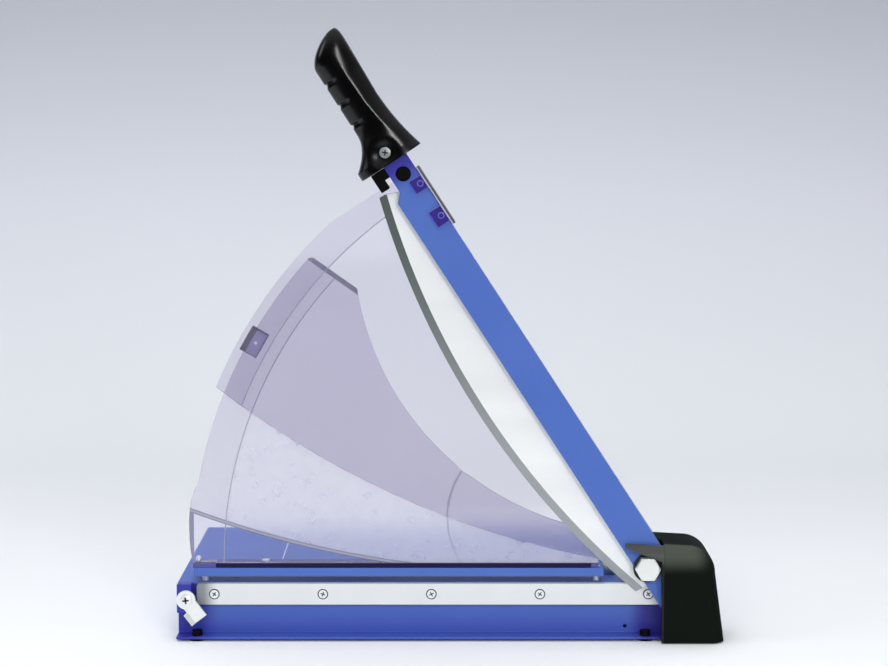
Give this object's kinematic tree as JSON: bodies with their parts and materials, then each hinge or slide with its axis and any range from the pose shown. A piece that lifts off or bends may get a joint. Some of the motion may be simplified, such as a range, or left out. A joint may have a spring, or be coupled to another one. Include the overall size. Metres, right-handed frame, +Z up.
{
  "type": "paper cutter",
  "caption": "Guillotine paper cutter: blue folded sheet table, curved blade on a hinged arm with a black handle, sprung clamp bar, and a tinted guard that follows the arm.",
  "frame": {"origin": "centre of the overall box's bottom face, on the desk under the feet", "axes": "+X along the cut towards the pivot, +Y from the cutting edge to the back of the table, +Z up"},
  "size_m": [0.47, 0.284, 0.5229],
  "materials": {
    "blue_paint": "satin powder coat",
    "black_rubber": "matte",
    "blade_steel": "ground",
    "zinc_screws": "bright zinc",
    "grey_steel": "plain",
    "bolt_steel": "bright",
    "black_oxide": "blackened",
    "black_plastic": "satin moulding",
    "fence_metal": "satin",
    "tinted_guard": "clear, tinted",
    "hook_plastic": "clear, tinted",
    "navy_strip": "satin",
    "bronze": "turned"
  },
  "bodies": {
    "base": {"base_table": "blue_paint", "front_rail": "blue_paint", "rubber_feet": "black_rubber", "lower_blade": "blade_steel", "lower_blade_screws": "zinc_screws", "stop_block": "blue_paint", "catch_screw": "zinc_screws", "pivot_bracket": "grey_steel", "pivot_bolt": "bolt_steel", "pivot_washer": "black_oxide", "pivot_spacer": "grey_steel", "disc_springs": "bolt_steel", "lock_nut": "bolt_steel", "pivot_cover": "black_plastic", "cover_tongue": "black_plastic", "side_fence": "fence_metal", "fence_screws": "zinc_screws", "guide_sleeves": "grey_steel", "return_springs": "bolt_steel"},
    "catch": {"catch": "zinc_screws"},
    "clamp": {"clamp_bar": "blue_paint", "guide_posts": "zinc_screws", "lower_guard": "tinted_guard", "foot_strip": "navy_strip", "guard_screws": "zinc_screws"},
    "arm": {"blade_arm": "blue_paint", "arm_bush": "bronze", "upper_blade": "blade_steel", "blade_screws": "zinc_screws", "handle": "black_plastic", "handle_screw": "zinc_screws", "arm_buffer": "black_rubber"},
    "upper_guard": {"upper_guard": "tinted_guard", "guard_hooks": "hook_plastic", "guide_shoe": "hook_plastic"}
  },
  "joints": [
    {"name": "arm_swing", "type": "hinge", "parent": "base", "child": "arm", "pos_m": [0.169, -0.118, 0.064], "axis": [0, -1, 0], "range_deg": [0, 57]},
    {"name": "guard_swing", "type": "hinge", "parent": "base", "child": "upper_guard", "pos_m": [0.169, -0.118, 0.064], "axis": [0, -1, 0], "range_deg": [0, 16.1]},
    {"name": "clamp_press", "type": "slide", "parent": "base", "child": "clamp", "axis": [0, 0, -1], "range_m": [0, 0.0047], "stiffness_N_per_m": 1500, "springref_m": -0.012, "deforming": ["return_springs"]},
    {"name": "catch_swing", "type": "hinge", "parent": "base", "child": "catch", "pos_m": [-0.2268, -0.126, 0.035], "axis": [0, -1, 0], "range_deg": [-30, 75]}
  ],
  "couplings": [
    {"joint": "guard_swing", "follows": "arm_swing", "ratio": 0.2807}
  ]
}
